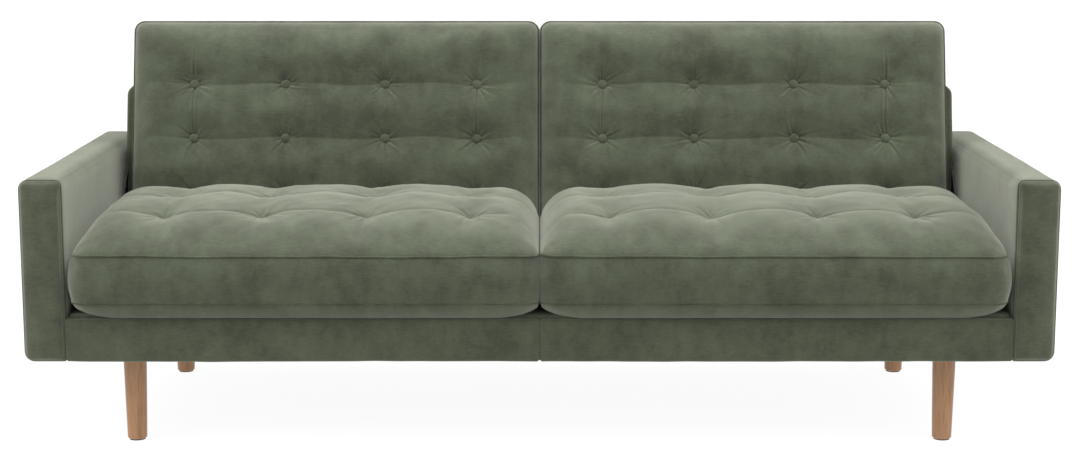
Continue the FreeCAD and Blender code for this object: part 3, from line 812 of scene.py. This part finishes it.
def makeDeckCloth():
    # the cloth over the slats, turned down at its front: a closed strip's profile carried across the seat
    look = deckCloth
    low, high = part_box("deck_cloth")
    thickness, radius, length = look["thickness"], look["turn"], look["lengthPlaces"]
    turn = np.linspace(0, math.pi / 2, 5)
    top = np.column_stack([np.linspace(high.y, low.y + radius, length), np.full(length, high.z)])
    bend = np.column_stack([low.y + radius - radius * np.sin(turn), high.z - radius + radius * np.cos(turn)])
    outer = np.vstack([top, bend[1:], [[low.y, low.z]]])
    atFront = outer[::-1, :1] < low.y + radius + thickness
    inner = outer[::-1] + np.array([thickness, -thickness]) * atFront + np.array([0, -thickness]) * ~atFront
    profile = np.vstack([outer, inner])
    across = np.linspace(low.x, high.x, look["widthPlaces"])
    x, place = np.meshgrid(across, np.arange(len(profile)), indexing="ij")
    points = np.stack([x, profile[place, 0], profile[place, 1]], -1).reshape(-1, 3)
    points[:, 2] = np.minimum(points[:, 2], high.z) - look["sag"] * (1 + waves(points, 90, 0.2)) / 2
    faces = gridFaces(len(across), len(profile), False, True)
    count = len(profile)
    ends = np.array([[i, count - 1 - i, count - 2 - i, i + 1] for i in range(count // 2 - 1)])
    faces = np.vstack([faces, ends, ends[:, ::-1] + (len(across) - 1) * count])
    cloth = newPiece("seat_deck_cloth", points, faces, velvet)
    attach(cloth, "root")
    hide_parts("deck_cloth")


makeDeckCloth()

deckPad = dict(thickness=0.004, radius=0.0018, fromMiddle=0.0004, fromArm=0.002, puff=(0, 0, 0.001),
               besidePlates=0.0045, plateFade=(0.004, 0.03))


def makeDeckPads():
    # thin pads on the plywood and rail behind the seat, drawn back from the middle hinge's plates
    look = deckPad
    low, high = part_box("rear_deck_panels")
    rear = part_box("rear_rail")[1].y
    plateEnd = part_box("inner_hinge_plates")[1].y
    for sign, side in ((1, "right"), (-1, "left")):
        points, faces = softBox((look["fromMiddle"], low.y, high.z),
                                (high.x - look["fromArm"], rear, high.z + look["thickness"]),
                                look["radius"], (90, 30, 1), look["puff"], 95 + sign, 0.0003)
        beside = 1 - smoothStep(points[:, 1], plateEnd + look["plateFade"][0], plateEnd + look["plateFade"][1])
        points[:, 0] += look["besidePlates"] * beside * np.exp(-points[:, 0] / look["plateFade"][1])
        pad = newPiece(side + "_rear_deck_pad", points * np.array([sign, 1, 1]), faces[:, ::sign], velvet)
        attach(pad, "root")


makeDeckPads()


railLook = dict(radius=0.005, puff=(0.0, 0.003, 0.001), seamWidth=0.0022, seamDepth=0.0035, seamReach=0.06,
                crowding=2.2, coreDepth=0.006, overDeck=0.0055)


def makeRailPads():
    # padded rails; the front one is pulled in along a narrow upright seam at its middle, where its points crowd
    # together by a power of their distance, and the rear one rises over the deck's edge
    look = railLook
    rightLow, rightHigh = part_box("right_front_rail_cover")
    leftLow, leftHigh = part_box("left_front_rail_cover")
    rearLow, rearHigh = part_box("rear_rail_cover")
    for name, low, high, nodes in (
            ("front_rail_pad", leftLow, rightHigh, ("left_front_rail_cover", "right_front_rail_cover")),
            ("rear_rail_pad", rearLow, np.array(rearHigh) + (0, 0, look["overDeck"]), ("rear_rail_cover",))):
        points, faces = softBox(low, high, look["radius"], (200, 8, 16), look["puff"], 40 + len(name), 0.0008)
        if len(nodes) == 2:
            reach, away = look["seamReach"], np.abs(points[:, 0])
            points[:, 0] = np.sign(points[:, 0]) * np.where(
                away < reach, reach * (away / reach) ** look["crowding"], away)
            groove = np.exp(-(points[:, 0] / look["seamWidth"]) ** 2) * look["seamDepth"]
            core = np.clip(points, np.array(low) + look["coreDepth"], np.array(high) - look["coreDepth"])
            inward = core - points
            inward[:, 0] = 0
            points += inward / np.maximum(np.linalg.norm(inward, axis=1, keepdims=True), 1e-9) * groove[:, None]
        pad = newPiece(name, points, faces, velvet)
        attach(pad, "root")
        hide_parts(*nodes)


makeRailPads()

backFrame = dict(low=(0.008, -0.089, -0.077), high=(0.972, 0.306, -0.0258), radii=(0.006, 0.006, 0.010, 0.024),
                 endRadius=(0.016, 0.004), puff=(0.003, 0.003, 0.001), overHinge=0.0050,
                 hingeUp=(0.085, 0.125), hingeAcross=(0.88, 0.97))


def makeBackFrames():
    # the padded frame behind each back cushion: a bar whose length runs out of the back's face
    look = backFrame
    for sign, body in ((1, "right_back"), (-1, "left_back")):
        points, faces = softBar(look["low"], look["high"], look["radii"], look["endRadius"],
                                (0.016, 0.014, 0.008), look["puff"], 60 + sign)
        padding = smoothStep(points[:, 1], *look["hingeUp"]) * smoothStep(points[:, 0], *look["hingeAcross"])
        points[:, 0] += look["overHinge"] * padding      # padded out over the hinge's arm
        cover = newPiece(body + "_frame_pad", leaning(points * np.array([sign, 1, 1])), faces[:, ::sign], velvet)
        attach(cover, body)
        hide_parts(body + "_cover")


makeBackFrames()
print("arms, rails and back frames made")


studio = dict(ground=30, floorGlow=0.94, floorBounce=0.98, floorColour=0.14, floorRoughness=0.9, skyTop=1.5,
              skySide=0.04, skyLow=0.1, skyHigh=0.9)


def makeStage():
    size = studio["ground"]
    corners = np.array([[-size, -size, 0], [size, -size, 0], [size, size, 0], [-size, size, 0]], float)
    floor = newPiece("floor", corners, np.array([[0, 1, 2, 3]]))
    material, nodes, links, shader = newMaterial("paleFloor")
    shader.inputs["Base Color"].default_value = (*[studio["floorColour"]] * 3, 1)
    shader.inputs["Roughness"].default_value = studio["floorRoughness"]
    shader.inputs["Specular IOR Level"].default_value = 0.0
    shader.inputs["Emission Color"].default_value = (1, 1, 1, 1)
    glow = nodes.new("ShaderNodeMix")      # how bright it is seen, and how much light it throws up
    glow.inputs["A"].default_value, glow.inputs["B"].default_value = studio["floorBounce"], studio["floorGlow"]
    links.new(nodes.new("ShaderNodeLightPath").outputs["Is Camera Ray"], glow.inputs["Factor"])
    links.new(glow.outputs["Result"], shader.inputs["Emission Strength"])
    floor.data.materials.append(material)
    world = bpy.data.worlds.new("studio")
    world.use_nodes = True
    nodes, links = world.node_tree.nodes, world.node_tree.links
    sky = nodes["Background"]
    backdrop = nodes.new("ShaderNodeBackground")
    backdrop.inputs["Color"].default_value = (1, 1, 1, 1)
    upward = nodes.new("ShaderNodeSeparateXYZ")
    links.new(nodes.new("ShaderNodeTexCoord").outputs["Generated"], upward.inputs[0])
    ranged = nodes.new("ShaderNodeMapRange")      # dimmer near the horizon, brighter overhead
    ranged.inputs["From Min"].default_value = studio["skyLow"]
    ranged.inputs["From Max"].default_value = studio["skyHigh"]
    ranged.inputs["To Min"].default_value = studio["skySide"]
    ranged.inputs["To Max"].default_value = studio["skyTop"]
    links.new(upward.outputs["Z"], ranged.inputs["Value"])
    links.new(ranged.outputs[0], sky.inputs["Strength"])
    sky.inputs["Color"].default_value = (1, 1, 1, 1)
    mixed = nodes.new("ShaderNodeMixShader")
    links.new(nodes.new("ShaderNodeLightPath").outputs["Is Camera Ray"], mixed.inputs[0])
    links.new(sky.outputs[0], mixed.inputs[1])
    links.new(backdrop.outputs[0], mixed.inputs[2])
    links.new(mixed.outputs[0], nodes["World Output"].inputs["Surface"])
    scene.world = world


lamps = (dict(name="overhead", place=(0, -0.35, 3.2), aim=(0, 0, 0.4), size=(2.0, 2.4), power=84),
         dict(name="leftSide", place=(-3.2, -1.6, 2.0), aim=(0, 0, 0.3), size=(2.0, 2.0), power=60),
         dict(name="rightSide", place=(3.2, -1.2, 2.0), aim=(0, 0, 0.3), size=(2.0, 2.0), power=54))


def makeLights():
    for lamp in lamps:
        data = bpy.data.lights.new(lamp["name"], "AREA")
        data.shape = "RECTANGLE"
        data.size, data.size_y = lamp["size"]
        data.energy = lamp["power"]
        light = bpy.data.objects.new(lamp["name"], data)
        light.location = lamp["place"]
        away = Vector(lamp["aim"]) - Vector(lamp["place"])
        light.rotation_euler = away.to_track_quat("-Z", "Y").to_euler()
        scene.collection.objects.link(light)


cameraSet = dict(side=0.0009, distance=4.2716, height=1.1818, pitch=9.535, lens=70.0, sensor=36)


def makeCamera():
    data = bpy.data.cameras.new("camera")
    data.sensor_width = cameraSet["sensor"]
    data.lens = cameraSet["lens"]
    camera = bpy.data.objects.new("camera", data)
    camera.location = (cameraSet["side"], armFront - cameraSet["distance"], cameraSet["height"])
    camera.rotation_euler = (math.radians(90 - cameraSet["pitch"]), 0, 0)
    scene.collection.objects.link(camera)
    scene.camera = camera


makeStage()
makeLights()
makeCamera()
scene.view_settings.view_transform = "Standard"
print("stage made")
